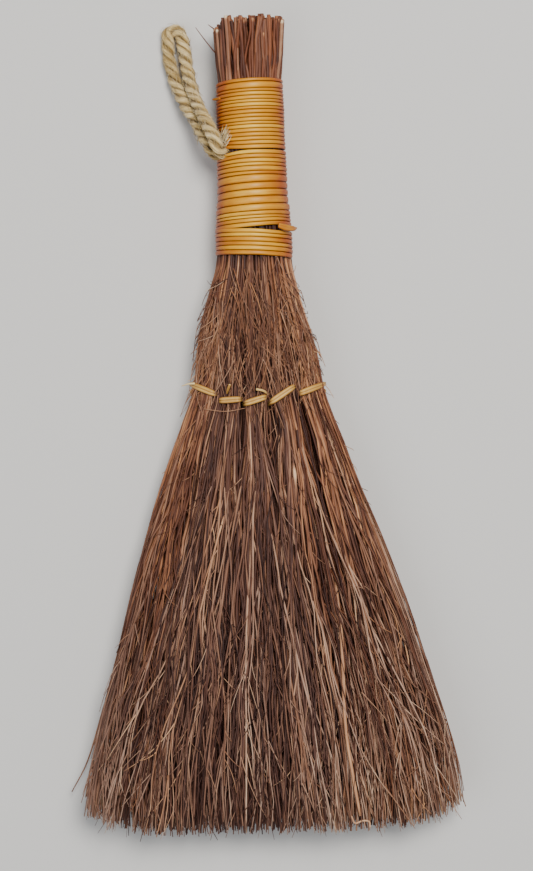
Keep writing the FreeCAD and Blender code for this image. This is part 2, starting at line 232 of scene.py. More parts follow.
class Material:
    """A Principled material with short ways to add and link nodes."""

    def __init__(self, name):
        self.material = bpy.data.materials.new(name)
        self.material.use_nodes = True
        self.tree = self.material.node_tree
        self.shader = self.tree.nodes["Principled BSDF"]

    def node(self, kind, **values):
        made = self.tree.nodes.new(kind)
        for key, value in values.items():
            setattr(made, key, value)
        return made

    def feed(self, socket, value):
        if isinstance(value, (int, float)):
            socket.default_value = value
        elif isinstance(value, tuple):
            socket.default_value = (*value, 1.0) if len(socket.default_value) == 4 else value
        else:
            self.tree.links.new(value, socket)

    def set(self, node, **values):
        for key, value in values.items():
            self.feed(node.inputs[key.replace("_", " ")], value)

    def attribute(self, name, output="Fac"):
        return self.node("ShaderNodeAttribute", attribute_name=name).outputs[output]

    def math(self, operation, a, b):
        made = self.node("ShaderNodeMath", operation=operation)
        self.feed(made.inputs[0], a)
        self.feed(made.inputs[1], b)
        return made.outputs[0]

    def centred(self, value, size):
        """Noise moved to lie about zero, times size."""
        return self.math("MULTIPLY", self.math("SUBTRACT", value, 0.5), size)

    def total(self, first, *others):
        for other in others:
            first = self.math("ADD", first, other)
        return first

    def noise(self, across, along, detail=3.0, roughness=0.6):
        """Noise in the fibre coordinates, in cycles per mm across and along the strand."""
        stretch = self.node("ShaderNodeVectorMath", operation="MULTIPLY")
        self.feed(stretch.inputs[0], self.attribute("grain", "Vector"))
        stretch.inputs[1].default_value = (across, across, along)
        noise = self.node("ShaderNodeTexNoise")
        self.set(noise, Scale=1.0, Detail=detail, Roughness=roughness, Vector=stretch.outputs[0])
        return noise.outputs["Fac"]

    def ramp(self, value, *stops):
        made = self.node("ShaderNodeValToRGB")
        elements = made.color_ramp.elements
        while len(elements) < len(stops):
            elements.new(0.5)
        for element, (place, color) in zip(elements, stops):
            element.position = place
            element.color = (*color, 1.0)
        self.set(made, Fac=value)
        return made.outputs["Color"]

    def mix(self, kind, factor, a, b):
        made = self.node("ShaderNodeMix", data_type="RGBA", blend_type=kind)
        for index, value in ((0, factor), (6, a), (7, b)):
            self.feed(made.inputs[index], value)
        return made.outputs[2]

    def bump(self, value, strength, distance):
        made = self.node("ShaderNodeBump")
        self.set(made, Strength=strength, Distance=distance, Height=value)
        self.set(self.shader, Normal=made.outputs["Normal"])


def twig_material(name, *stops):
    """Dry bark with streaks and patches; stops are tones with their screen colours."""
    m = Material(name)
    streaks = m.noise(1.3, 0.06, detail=4.0)
    patches = m.noise(0.15, 0.11, detail=2.0)
    value = m.total(m.attribute("tone"), m.centred(streaks, 0.6), m.centred(patches, 0.55))
    bark = m.ramp(value, *((place, srgb(*color)) for place, *color in stops))
    color = m.mix("MULTIPLY", 1.0, bark, m.attribute("tint", "Color"))
    rough = m.total(m.math("MULTIPLY", streaks, 0.3), 0.42)
    m.set(m.shader, Base_Color=color, Roughness=rough, Specular_IOR_Level=0.3)
    m.bump(streaks, 0.5, 0.15 * MM)
    return m.material


def cane_material(name, dark, middle, light, groove=(1.0, 1.0, 1.0)):
    """Split rattan: glossy skin with fine long fibres and stains, with painted shade in the
    grooves.
    """
    m = Material(name)
    fibres = m.noise(3.2, 0.05, detail=5.0, roughness=0.7)
    stains = m.noise(0.10, 0.05, detail=3.0)
    value = m.total(m.attribute("tone"), m.centred(fibres, 0.6), m.centred(stains, 0.9))
    color = m.ramp(value, (0.15, srgb(*dark)), (0.55, srgb(*middle)), (0.9, srgb(*light)))
    # painted shade: darker towards each strand's edges, where it meets the next turn, and along
    # its middle by the groove colour
    painted_groove_shade = m.ramp(m.attribute("rim"), (0.0, groove), (0.2, (1.0, 1.0, 1.0)),
                  (0.55, (1.0, 1.0, 1.0)), (0.85, (0.72, 0.58, 0.45)),
                  (1.0, (0.32, 0.19, 0.10)))
    rough = m.total(m.math("MULTIPLY", fibres, 0.25), 0.28)
    m.set(m.shader, Base_Color=m.mix("MULTIPLY", 1.0, color, painted_groove_shade), Roughness=rough,
          Specular_IOR_Level=0.26, Coat_Weight=0.04, Coat_Roughness=0.3)
    m.bump(fibres, 0.35, 0.12 * MM)
    return m.material


def rope_material():
    """Dry bast fibre: pale and dark fibres side by side, with painted shade between the strands.
    """
    m = Material("rope_fibre")
    fibres = m.noise(4.0, 0.25, detail=5.0, roughness=0.75)
    patches = m.noise(0.3, 0.1, detail=2.0)
    value = m.total(m.attribute("tone"), m.centred(fibres, 1.5), m.centred(patches, 0.9))
    color = m.ramp(value, (0.0, srgb(84, 62, 20)), (0.33, srgb(158, 128, 68)),
                   (0.62, srgb(212, 186, 130)), (1.0, srgb(252, 236, 196)))
    # painted shade: each strand is darker at its sides, where it goes into the crease with its
    # neighbour
    painted_crease_shade = m.ramp(m.attribute("rim"), (0.0, (1.0, 1.0, 1.0)), (0.6, (0.98, 0.97, 0.94)),
                    (1.0, (0.52, 0.44, 0.28)))
    m.set(m.shader, Base_Color=m.mix("MULTIPLY", 1.0, color, painted_crease_shade), Roughness=0.85,
          Specular_IOR_Level=0.25, Sheen_Weight=0.2)
    m.bump(fibres, 0.9, 0.3 * MM)
    return m.material


FAN_TWIG = twig_material("fan_twig_bark", (0.0, 46, 20, 13), (0.3, 86, 52, 38),
                         (0.55, 132, 93, 70), (0.8, 176, 137, 108), (1.0, 212, 178, 144))
BUTT_TWIG = twig_material("butt_twig_bark", (0.0, 50, 20, 9), (0.3, 104, 58, 36),
                          (0.6, 148, 98, 66), (0.85, 184, 140, 102), (1.0, 224, 194, 148))
CANE = cane_material("golden_cane", (158, 74, 8), (205, 143, 28), (234, 188, 64))
# the stitch cane's groove colour paints shade along the groove in the middle of its strands
STITCH_CANE = cane_material("pale_cane", (156, 104, 40), (208, 166, 88), (246, 222, 160),
                            groove=(0.5, 0.36, 0.22))
ROPE = rope_material()
# Tints that a twig's colour is multiplied by.
GREY, PLAIN, GOLDEN = np.array([(0.92, 1.0, 1.2), (1.0, 0.96, 0.94), (1.2, 0.98, 0.74)])


def tint_of(hue):
    """From greyish at -1 to golden at 1, for one hue or a row of them."""
    hue = np.clip(hue, -1, 1)[..., None]
    return PLAIN + (GOLDEN - PLAIN) * np.maximum(hue, 0) + (GREY - PLAIN) * np.maximum(-hue, 0)


# ---- twigs
STEMS = 500  # main stems of the whole fan
BRANCHES_PER_STEM = 1.9
SHOOTS_PER_STEM = 2.2
SPRAYS = 22  # lighter leaning twigs of each bunch
MOST_SPRAY_TWIGS = 160  # of each bunch, with their forks
HAIRS = 120  # crossing hairs on each bunch's shoulder
BUTT_TWIGS = 430
BUTT_BOTTOM = 117.0  # Y where they start, inside the binding
FURTHEST_SPOT = 0.985  # share of the disc's radius


def disc_spots(count, rng, jitter):
    """Evenly spread spots in the unit disc."""
    i = np.arange(count) + 0.5
    r = np.sqrt(i / count)
    angle = i * math.pi * (3 - math.sqrt(5))  # the golden angle
    u = r * np.cos(angle) + rng.normal(0, jitter, count)
    v = r * np.sin(angle) + rng.normal(0, jitter, count)
    size = np.maximum(1.0, np.hypot(u, v) / FURTHEST_SPOT)
    return np.stack([u / size, v / size], axis=1)


def row_share(x):
    """A place across the row as a share of the half width on its side."""
    return x / (ROW_LEFT if x < 0 else ROW_RIGHT)


EDGES = np.array([-1.0, *(row_share(x) for x in DIVIDERS), 1.0])
GATHER = (0.28, 0.28, 0.28, 0.24, 0.08)  # how far the stitches draw each bunch together
# Gaps in front where the twigs below the stitches stand apart: x, Y, half width, half length.
PARTINGS = ((5.6, -1.0, 2.1, 8.0), (-15.6, -3.0, 0.8, 9.0), (18.0, -8.0, 0.7, 10.0))


def place(u, v, k):
    """x and z along the grid for a twig at (u, v) of the cross-section, in bunch k."""
    middle = (EDGES[k] + EDGES[k + 1]) / 2
    u_here = u + (middle - u) * GATHER[k] * PULL * min(1.0, abs(v) / 0.5)
    x = u_here * np.where(u_here < 0, LEFT, RIGHT)
    for gap_x, gap_y, wide, long in PARTINGS:
        off = x - gap_x
        near = np.exp(-((GRID - gap_y) / long) ** 2 - (off / (3 * wide)) ** 2)
        side = 1 if along_grid(gap_y, off) > 0 else -1
        x = x + side * wide * near * smoothstep(-0.3, 0.3, v)
    return x, CENTRE + v * THICK * (1 - 0.08 * PULL)


def wave(rng, along, length, size):
    """A smooth random wander: three sines of about the given length."""
    total = np.zeros_like(along)
    for _ in range(3):
        here = length * rng.uniform(0.6, 1.7)
        total += rng.normal(0, size) * np.sin(along * TAU / here + rng.uniform(0, TAU))
    return total / 1.7


def tips_edge(x):
    """The Y of the fan's end at x: nearly straight, with rounded corners."""
    share = np.minimum(1.1, np.abs(x) / np.where(x < 0, LEFT[-1], RIGHT[-1]))
    inset, corner = 0.6, 8.5
    return TIPS + inset + corner * share ** 7


def fan_end(x, rng):
    """The Y where a fan twig ends: close to the edge, or some way short of it."""
    uneven, short, short_share = 2.4, 9.0, 0.3
    ragged = abs(rng.normal(0, uneven))
    if rng.random() < short_share:
        ragged += rng.exponential(short)
    return float(tips_edge(x)) + ragged


@dataclass
class Twig:
    """One twig of the fan: its course on the grid, and where it starts and ends."""
    x: np.ndarray
    z: np.ndarray
    start: float
    end: float
    thick: float
    thin: float
    tone: float
    hue: float

    def at(self, y):
        return np.stack([along_grid(y, self.x), y, along_grid(y, self.z)], axis=-1)


def excess(offset, limit):
    """By how much an offset goes beyond a limit, with the offset's sign."""
    return np.sign(offset) * np.maximum(0, np.abs(offset) - limit)


def contained(x, rng):
    """Keep a twig within the outline, apart from a little that differs from twig to twig."""
    margin = rng.normal(-2.2, 1.3)
    limit = np.where(x < 0, LEFT, RIGHT) + margin * TIED * (0.5 + 0.5 * SPREAD)
    return x - excess(x, limit) * 0.8


def level(z):
    """Keep a twig within the fan's thickness, nearly."""
    return z - excess(z - CENTRE, THICK) * 0.85


def branch(parent, start, lean, reach, thick, rng):
    """A twig that leaves its parent at start, leaning to one side and less so beyond reach."""
    s = np.maximum(0, start - GRID)
    away = lean * s / (1 + s / reach)
    loose = smoothstep(0, 40, s)
    x = contained(parent.x + away + wave(rng, GRID, 45, 0.7) * loose, rng)
    z = level(parent.z + away * rng.normal(0, 0.4) + wave(rng, GRID, 60, 0.4) * loose)
    end = max(fan_end(x[-4], rng), parent.end - 12)
    if rng.random() < 0.25:
        end = start - rng.uniform(22, 80)
    end = max(min(end, start - 18), float(tips_edge(x[-4])))
    tone = parent.tone * 0.6 + 0.05 + rng.normal(0, 0.13)
    hue = parent.hue + rng.normal(0, 0.25)
    return Twig(x, z, start, end, thick, thick * 0.5, tone, hue)


# Places across the fan (-1 left to 1 right), and the twigs' hue there.
HUE_ACROSS = ([-1.0, -0.66, -0.56, -0.28, -0.1, 0.2, 0.36, 0.62, 0.8, 1.0],
              [0.55, 0.35, -0.75, -0.6, -0.15, -0.55, 0.5, 0.5, 0.1, 0.25])


def grow_bunch(k, spots, rng):
    """The stems of one bunch and the branches that grow from them."""
    clumps = spots[rng.permutation(len(spots))[:max(4, len(spots) // 5)]]
    wander = [(wave(rng, GRID, 130, 1.0), wave(rng, GRID, 110, 1.0), rng.normal(0, 0.05),
               rng.normal(0, 0.2), rng.normal(0, 2.2)) for _ in clumps]
    stems = []
    for spot in spots:
        c = int(np.argmin(np.hypot(*(clumps - spot).T)))
        aside, above, clump_tone, clump_hue, clump_drift = wander[c]
        u, v = spot
        x, z = place(u, v, k)
        x_clump, z_clump = place(*clumps[c], k)
        gather = 0.34 * TIED * CALM * smoothstep(58, 20, GRID)
        x = x + (x_clump - x) * gather
        z = z + (z_clump - z) * gather
        loose = SPREAD * CALM
        x = x + aside * 1.6 * loose + wave(rng, GRID, 75, 1.0) * loose
        x = x + wave(rng, GRID, 26, 0.36) * CALM * TIED * (0.75 + 0.25 * SPREAD)
        z = z + above * loose + wave(rng, GRID, 70, 0.6) * loose
        crossing = rng.random() < 0.2
        drift = rng.normal(0, 9.0) if crossing else clump_drift + rng.normal(0, 2.4)
        x = contained(x + drift * smoothstep(6, -150, GRID), rng)
        z = level(z)
        # Twigs deep inside the bunch are darker: partly painted shade, partly darker bark inside
        depth = smoothstep(0.4, 0.95, math.hypot(u, v))
        light = rng.uniform(0.38, 0.74) if rng.random() < 0.45 else rng.uniform(0.08, 0.34)
        light = light + clump_tone + 0.06 * crossing
        # painted light: twigs at the fan's edges are lighter, most on the right
        light = light + (0.12 if u < 0 else 0.24) * smoothstep(0.8, 0.97, abs(u))
        tone = light * (0.35 + 0.65 * depth)
        hue = np.interp(u, *HUE_ACROSS) + clump_hue + rng.normal(0, 0.2) + 0.3 * crossing
        thick = rng.uniform(0.44, 0.62) * (1.25 if rng.random() < 0.08 else 1.0)
        end = fan_end(x[-4], rng)
        stems.append(Twig(x, z, GRID[0], end, thick, thick * rng.uniform(0.42, 0.6), tone, hue))
    first = []
    for _ in range(int(len(spots) * BRANCHES_PER_STEM)):
        parent = stems[rng.integers(len(stems))]
        start = rng.uniform(-62, 50)
        lean = rng.choice([-1, 1]) * rng.uniform(0.04, 0.20) * (0.6 if start > 5 else 1.0)
        first.append(branch(parent, start, lean, 110, rng.uniform(0.28, 0.44), rng))
    second = []
    for _ in range(int(len(spots) * SHOOTS_PER_STEM)):
        parent = (stems + first)[rng.integers(len(stems) + len(first))]
        start = rng.uniform(-124, -4)
        if parent.end + 15 < start < parent.start - 12:
            lean = rng.choice([-1, 1]) * rng.uniform(0.08, 0.38)
            second.append(branch(parent, start, lean, 60, rng.uniform(0.20, 0.32), rng))
    return stems, first + second + sprays(k, rng)


def sprays(k, rng):
    """Lighter twigs on the front and back that lean to one side and fork towards the tips."""
    twigs = []
    for _ in range(SPRAYS):
        u = rng.uniform(EDGES[k] * 0.96, EDGES[k + 1] * 0.96)
        face = 1 if rng.random() < 0.6 else -1
        depth = face * math.sqrt(max(0.05, 1 - u * u)) * rng.uniform(0.8, 0.98)
        x, z = place(u, depth, k)
        start = rng.uniform(-95, 8)
        outward = 1 if u > 0 else -1
        lean = rng.normal((0.19 if k < 2 else 0.13) * outward, 0.09)
        lean = lean * (0.55 if start > -20 else 1.0)
        tone = rng.uniform(0.42, 0.76) - 0.04 * (k == 0)
        hue = rng.normal(-0.5 if k < 2 else -0.15, 0.3)
        stem = Twig(x, z, start + 14, TIPS, 0.45, 0.24, tone, hue)
        lead = branch(stem, start, lean, 200, rng.uniform(0.38, 0.5), rng)
        lead.start = start + 6
        lead.tone = tone
        lead.z = z + rng.normal(0, 0.3) - face * 2.8 * smoothstep(start - 16, start + 6, GRID)
        twigs.append(lead)
        fork = start
        side = rng.choice([-1, 1])
        while fork > lead.end + 30 and len(twigs) < MOST_SPRAY_TWIGS:
            fork -= rng.uniform(9, 24)
            lean = side * rng.uniform(0.07, 0.26)
            shoot = branch(lead, fork, lean, 90, rng.uniform(0.24, 0.36), rng)
            shoot.tone = tone + rng.normal(0, 0.06)
            twigs.append(shoot)
            side = -side
    return twigs


FLOOR_GAP = 0.1  # mm between the lowest strands and the floor
PALE_ENDS = 0.4  # share of the fan's twigs with a fresh cut


def add_twig(strands, twig, sides, spacing, rng):
    """Draw one twig, with small swellings at its nodes and sometimes a pale cut end."""
    length = twig.start - twig.end
    rings = max(5, int(length / spacing))
    y = np.linspace(twig.start, twig.end, rings)
    path = twig.at(y)
    t = np.linspace(0, 1, rings)
    nodes = 1 + 0.15 * np.maximum(0, wave(rng, y, 15, 1.0))
    radius = (twig.thick + (twig.thin - twig.thick) * t ** 1.2) * nodes
    path[:, 2] = np.maximum(path[:, 2], radius + FLOOR_GAP)
    x = path[:, 0]
    # Paler at the tips and by the stitches; black inside the binding, a painted shade under the
    # cane;
    # darker in the fan's left middle and under the binding on the right; and painted shade in the
    # middle of the shoulder.
    tone = min(twig.tone, 0.8) + 0.10 * smoothstep(-108, -145, y) + 0.09 * smoothstep(-60, 10, y)
    tone = tone - 0.6 * smoothstep(61, 65, y)
    left_middle = smoothstep(-8, -30, x) * smoothstep(-64, -48, x)
    tone = tone - 0.10 * smoothstep(-40, -110, y) * left_middle
    tone = tone - 0.14 * smoothstep(36, 54, y) * smoothstep(4, 12, x)
    tone = tone - 0.16 * np.exp(-((x + 4) / 10) ** 2 - ((y - 24) / 11) ** 2)
    # Greyer towards the tips, most of all at the lower left, and more golden on the shoulder.
    hue = twig.hue - 0.35 * smoothstep(-20, -110, y) + 0.28 * smoothstep(-80, -20, y)
    hue = hue + 0.30 * smoothstep(5, 45, y)
    hue = hue - 0.35 * smoothstep(-65, -110, y) * smoothstep(-38, -56, x)
    strands.tube(path, radius, sides, tone, rng.uniform(0, 50), tint_of(hue),
                 pale_end=rng.random() < PALE_ENDS)


def wisp(strands, start, ahead, length, curl, thick, tone, hue, rng, kept_in=False):
    """A fine side shoot that curls; kept_in stops it at the tips and near the outline."""
    if kept_in:
        room = start[1] - float(tips_edge(start[0])) + rng.uniform(-1.0, 1.5)
        length *= min(1.0, max(0.1, room / max(1e-6, -ahead[1] * length)))
    steps = np.linspace(0, 1, 7)[:, None]
    across = unit(np.cross(ahead, [0.0, 0.0, 1.0]))
    points = start + ahead * length * steps + across * curl * length * steps ** 2
    if kept_in:
        left, right, top = (along_grid(points[:, 1], column)
                            for column in (LEFT, RIGHT, CENTRE + THICK))
        out = rng.uniform(0.5, 2.2) if rng.random() < 0.12 else rng.uniform(-1.2, 0.6)
        edge = np.where(points[:, 0] < 0, left, right) + out
        points[:, 0] -= excess(points[:, 0], edge) * 0.75
        points[:, 2] = np.minimum(points[:, 2], top + 0.5)
    points[:, 2] = np.maximum(points[:, 2], thick + FLOOR_GAP)
    radius = np.linspace(thick, thick * 0.5, 7)
    strands.tube(points, radius, 4, tone, rng.uniform(0, 50), tint_of(hue))


# Side shoots: on the main stems only, how many a bunch, between which Y, angle, length, curl.
WISPS = (
    (True, 170, (13, 57), (0.15, 0.9), (4, 13), 0.4),
    (False, 350, (-140, 5), (0.1, 0.6), (4, 14), 0.3),
    (False, 190, (-144, -80), (0.15, 0.5), (10, 26), 0.1),
)


def add_wisps(strands, twigs, count, heights, angles, lengths, curl, rng):
    """Side shoots of twigs that are in front, behind or at the edges."""
    for _ in range(count):
        y = rng.uniform(*heights)
        choices = [twigs[i] for i in rng.integers(len(twigs), size=3)]
        twig = max(choices, key=lambda t: abs(t.at(np.array([y]))[0, 2] - AXIS))
        if not twig.end + 4 < y < twig.start:
            continue
        start, further = twig.at(np.array([y, y - 3.0]))
        ahead = unit(further - start)
        turn = rng.choice([-1, 1]) * rng.uniform(*angles)
        ahead = np.array([
            ahead[0] * math.cos(turn) - ahead[1] * math.sin(turn),
            ahead[0] * math.sin(turn) + ahead[1] * math.cos(turn),
            ahead[2] + rng.uniform(-0.05, 0.12) * np.sign(start[2] - AXIS),
        ])
        wisp(strands, start, unit(ahead), rng.uniform(*lengths), rng.normal(0, curl),
             rng.uniform(0.12, 0.22), min(0.9, twig.tone + 0.12), twig.hue, rng, kept_in=True)


def face_height(x, y):
    """The twigs' half thickness at a place on the front or back."""
    left, right, thick = (along_grid(y, column) for column in (LEFT, RIGHT, THICK))
    share = x / np.where(x < 0, left, right)
    return thick * np.sqrt(np.maximum(0.0, 1 - share ** 2))


def add_tangle(strands, k, rng):
    """Fine curling hairs that cross each other on the shoulder, above the stitches."""
    steps = 7
    for _ in range(HAIRS):
        y = rng.triangular(14, 34, 66)
        width = along_grid(y, LEFT if EDGES[k] + EDGES[k + 1] < 0 else RIGHT)
        x = rng.uniform(EDGES[k], EDGES[k + 1]) * width * 0.97
        face = 1 if rng.random() < 0.65 else -1
        heading = rng.normal(-x / 90, 0.17) if rng.random() < 0.88 else rng.normal(0, 0.8)
        bend = rng.normal(0, 0.06)
        step = rng.uniform(9, 24) / steps
        spots = [(x, y)]
        for _ in range(steps):
            x -= step * math.sin(heading)
            y -= step * math.cos(heading)
            heading += bend
            spots.append((x, y))
        xs, ys = np.array(spots).T
        ys = np.minimum(ys, 62.0)
        left, right = (along_grid(ys, side) for side in (LEFT, RIGHT))
        xs = np.clip(xs, -left - 0.8, right + 0.8)
        lift = rng.uniform(0.1, 0.7) * np.sin(np.linspace(0.3, math.pi, steps + 1)) + 0.1
        zs = AXIS + face * (face_height(xs, ys) + lift)
        thick = rng.uniform(0.13, 0.25)
        shade = 0.2 * math.exp(-((x + 4) / 9) ** 2 - ((y - 24) / 12) ** 2)
        tone = rng.uniform(0.34, 0.72) - shade
        strands.tube(np.stack([xs, ys, zs], axis=1), np.linspace(thick, thick * 0.5, steps + 1), 4,
                     tone, rng.uniform(0, 50), tint_of(rng.normal(0.1, 0.4)))


# Twigs that stand out: bunch, places (x, Y, height over the front), radii, tone, hue.
SINGLE_TWIGS = (
    (3, ((26.6, -58, -2.6), (28.3, -80, 0.2), (28.7, -111, 0.6), (30.8, -130, 0.5),
         (33.3, -146, 0.3)), (0.6, 0.72, 0.66, 0.56), 0.76, 0.55),
    (3, ((30.0, -146.0, -0.6), (31.2, -148.6, 0.4), (34.0, -147.8, 0.7), (36.4, -148.2, 0.6),
         (36.8, -150.6, 0.3)), (0.3, 0.34, 0.3), 0.85, 0.3),
    (0, ((-61.5, -104, -6.0), (-68.5, -125, -7.0), (-75.0, -137, -7.6)), (0.36, 0.2), 0.5, 0.1),
    (3, ((11.9, -9.0, -0.4), (12.3, -14.4, 0.1), (12.7, -18.6, 0.3), (12.9, -23.0, -0.1),
         (13.2, -30, -0.9)), (0.3, 0.35, 0.7, 0.55, 0.3), (0.35, 0.5, 1.2, 0.7, 0.4), 0.2),
    (1, ((-20.5, 6.4, 0.9), (-12.5, 5.2, 1.3), (-5.0, 6.2, 0.9)), (0.13, 0.1), 0.7, 0.2),
)


def add_single_twigs(strands, k, rng):
    """The twigs of bunch k that stand out by themselves."""
    for bunch, places, sizes, tones, hue in SINGLE_TWIGS:
        if bunch == k:
            path = spline_points(places, 5)
            centre = along_grid(path[:, 1], CENTRE)
            path[:, 2] += centre + face_height(path[:, 0], path[:, 1])
            tone = evenly(np.atleast_1d(tones), len(path))
            strands.tube(path, evenly(sizes, len(path)), 7, tone, rng.uniform(0, 50),
                         tint_of(np.array(hue)))


RING_SPACING = 8.0
STEM_SIDES, BRANCH_SIDES = 6, 5


def make_fan():
    rng = seeded("fan")
    spots = disc_spots(STEMS, rng, 0.014)
    bunch = np.searchsorted(EDGES[1:-1], spots[:, 0])
    for k in range(BUNCHES):
        own = seeded("bunch", k)
        stems, branches = grow_bunch(k, spots[bunch == k], own)
        strands = Strands("twigs_bunch_%d" % (k + 1))
        for twig in stems:
            add_twig(strands, twig, STEM_SIDES, RING_SPACING, own)
        for twig in branches:
            add_twig(strands, twig, BRANCH_SIDES, RING_SPACING, own)
        for on_stems, *rest in WISPS:
            add_wisps(strands, stems if on_stems else stems + branches, *rest, own)
        add_tangle(strands, k, own)
        add_single_twigs(strands, k, own)
        piece = strands.build(FAN_TWIG)
        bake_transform(piece)
        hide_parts("upper_bunch_%d" % (k + 1), "fan_bunch_%d" % (k + 1))


# Two stray hairs at the butt: start, direction, length.
STRAY_HAIRS = (((-12.4, 139.6, 16), (-0.63, 0.77, 0.05), 12.0),
               ((-12.6, 148.6, 16), (-0.83, 0.55, 0.10), 2.8))


def make_butt():
    """The thick ends that stand out above the binding, cut off unevenly."""
    rng = seeded("butt")
    strands = Strands("twigs_butt")
    for u, v in disc_spots(BUTT_TWIGS, rng, 0.016):
        cut = rng.uniform(0, 2.4) + (rng.exponential(3.0) if rng.random() < 0.3 else 0)
        top = BUTT - 0.3 - cut - 3.0 * smoothstep(-0.55, -1.0, u)
        y = np.append(np.linspace(BUTT_BOTTOM, top - 1.6, 10), [top - 0.6, top])
        out = smoothstep(BINDING_TOP - 6, BUTT, y)
        reach = np.interp(y, [BUTT_BOTTOM, 128.0, BUTT], [11.0, 11.2, 12.9])
        lean_u, lean_v = rng.normal(0, 0.19, 2)
        x = u * reach + lean_u * out * reach + wave(rng, y, 26, 0.7) * out
        z = v * reach + lean_v * out * reach + wave(rng, y, 30, 0.4) * out
        inside = np.minimum(1.0, (reach + 0.2) / np.hypot(x, z))
        x = x * inside + 0.3 * out
        z = AXIS + z * inside
        thick = rng.uniform(0.46, 0.70)
        radius = thick * (1 + 0.12 * np.maximum(0, wave(rng, y, 12, 1.0)))
        # Twigs deep inside the bunch are darker: partly painted shade, partly darker bark inside
        depth = smoothstep(0.4, 0.95, math.hypot(u, v))
        tone = (0.04 + 0.66 * rng.beta(1.4, 2.2)) * (0.3 + 0.7 * depth)
        # painted light: the twigs on the right, the key light's side, are lighter
        tone = tone + 0.08 * smoothstep(0.3, 1, u)
        if rng.random() < 0.27:
            tone = tone + 0.5 * smoothstep(top - 1.5, top - 0.3, y)
        strands.tube(np.stack([x, y, z], axis=1), radius, 8, tone, rng.uniform(0, 50),
                     tint_of(rng.normal(-0.1, 0.4)), pale_end=True)
    for start, ahead, length in STRAY_HAIRS:
        wisp(strands, np.array(start), unit(np.array(ahead)), length, 0.05, 0.26, 0.25, -0.3, rng)
    attach(strands.build(BUTT_TWIG), "twigs_handle")


# ---- cane
# Bundle under the cane in mm: Y, half width, half height.
BUNDLE = np.array([
    (62.0, 13.45, 13.25), (72.5, 13.35, 13.2), (76.5, 12.95, 12.95), (80.5, 12.8, 12.8),
    (84.5, 12.2, 12.2), (95.0, 12.1, 12.1), (101.9, 11.9, 11.9), (108.0, 11.7, 11.7),
    (118.0, 11.75, 11.75), (129.0, 11.45, 11.5),
])
CANE_THICKNESS = 1.15
CANE_RADIUS = 13.5  # of the wound cane, about
RINGS_PER_TURN = 72
END_DEPTH = 1.3  # how deep a stretch's two ends are tucked in
LAST_PART = 0.5  # of a turn, after the last turn's front
# Where something passes between two turns and parts them: azimuth, spread, Y, amount, fade.
OPENINGS = ((-1.0, 0.55, 101.9, 0.95, 4.0), (0.62, 0.4, 73.0, 0.42, 2.6))


def d_section(count):
    """A flat-backed strand with a rounded face and full shoulders."""
    angle = np.linspace(math.pi, 0, count)
    across = np.sign(np.cos(angle)) * np.abs(np.cos(angle)) ** 0.75
    above = np.abs(np.sin(angle)) ** 0.62
    return np.stack([across, above], axis=1)


def split_section():
    """A flat strand with a shallow groove along its middle."""
    half = [(-1.0, 0.0), (-0.86, 0.55), (-0.5, 0.95), (-0.16, 0.78), (0.0, 0.55)]
    face = half + [(-x, y) for x, y in half[-2::-1]]
    return np.array(face + [(0.6, -0.45), (0.0, -0.6), (-0.6, -0.45)])


def part_turns(y, azimuth):
    """Move turns up or down to make room at each opening."""
    for centre, spread, height, amount, fade in OPENINGS:
        near = np.exp(-((azimuth - centre) / spread) ** 2)
        away = np.sign(np.median(y) - height)
        y = y + away * amount * near * np.exp(-np.abs(y - height) / fade)
    return y


def winding(name, bottom, widths, hand, tilt, start, rng, *nodes):
    """A stretch of cane wound up from bottom, to the right where hand is 1.

    tilt is the slant of its first and last turn, start the part of a turn before the front.
    """
    turns = len(widths)
    last = turns - 1 + LAST_PART
    turn = np.linspace(-start, last, int((last + start) * RINGS_PER_TURN))
    edges = bottom + np.concatenate([[-widths[0]], [0], np.cumsum(widths)])
    edges = np.append(edges, edges[-1] + widths[-1])
    marks = np.arange(-1, turns + 2)
    lower = np.interp(turn, marks, edges)
    upper = np.interp(turn + 1, marks, edges)
    azimuth = hand * turn * TAU
    wrapped = (azimuth + math.pi) % TAU - math.pi
    slope = np.interp(turn, [0, turns - 1], tilt) * CANE_RADIUS * np.sin(azimuth)
    lower = part_turns(lower + slope, wrapped)
    upper = part_turns(upper + slope, wrapped)
    y = (lower + upper) / 2
    wobble = np.interp(turn, marks, rng.normal(0, 0.06, len(marks)))
    tuck = np.minimum(turn + start, last - turn)
    lift = -np.abs(wobble) - END_DEPTH * (1 - smoothstep(0, 0.09, tuck))
    wide = np.interp(y, BUNDLE[:, 0], BUNDLE[:, 1]) + lift
    tall = np.interp(y, BUNDLE[:, 0], BUNDLE[:, 2]) + lift
    path = np.stack([wide * np.sin(azimuth), y, AXIS + tall * np.cos(azimuth)], axis=1)
    out = np.stack([np.sin(azimuth), np.zeros_like(y), np.cos(azimuth)], axis=1)
    side = unit(np.cross(out, tangents(path))) * hand
    tone = 0.52 + np.interp(turn, marks, rng.normal(0, 0.09, len(marks)))
    # painted shade: the tone falls from the front towards the sides of the bundle, more on the
    # left of the upper stretch, and rises again towards the back
    shade = 0.75 * (1 - np.cos(azimuth)) + 0.12 * np.sin(-azimuth).clip(0, 1) * (y > 104)
    tone = tone + 0.1 - np.minimum(shade, 0.6) + 0.3 * smoothstep(0.1, 0.9, -np.cos(azimuth))
    strands = Strands(name)
    strands.add(path, side, out, d_section(15), (upper - lower) * 0.5, CANE_THICKNESS, tone,
                rng.uniform(0, 50))
    attach(strands.build(CANE), "cane", *nodes)


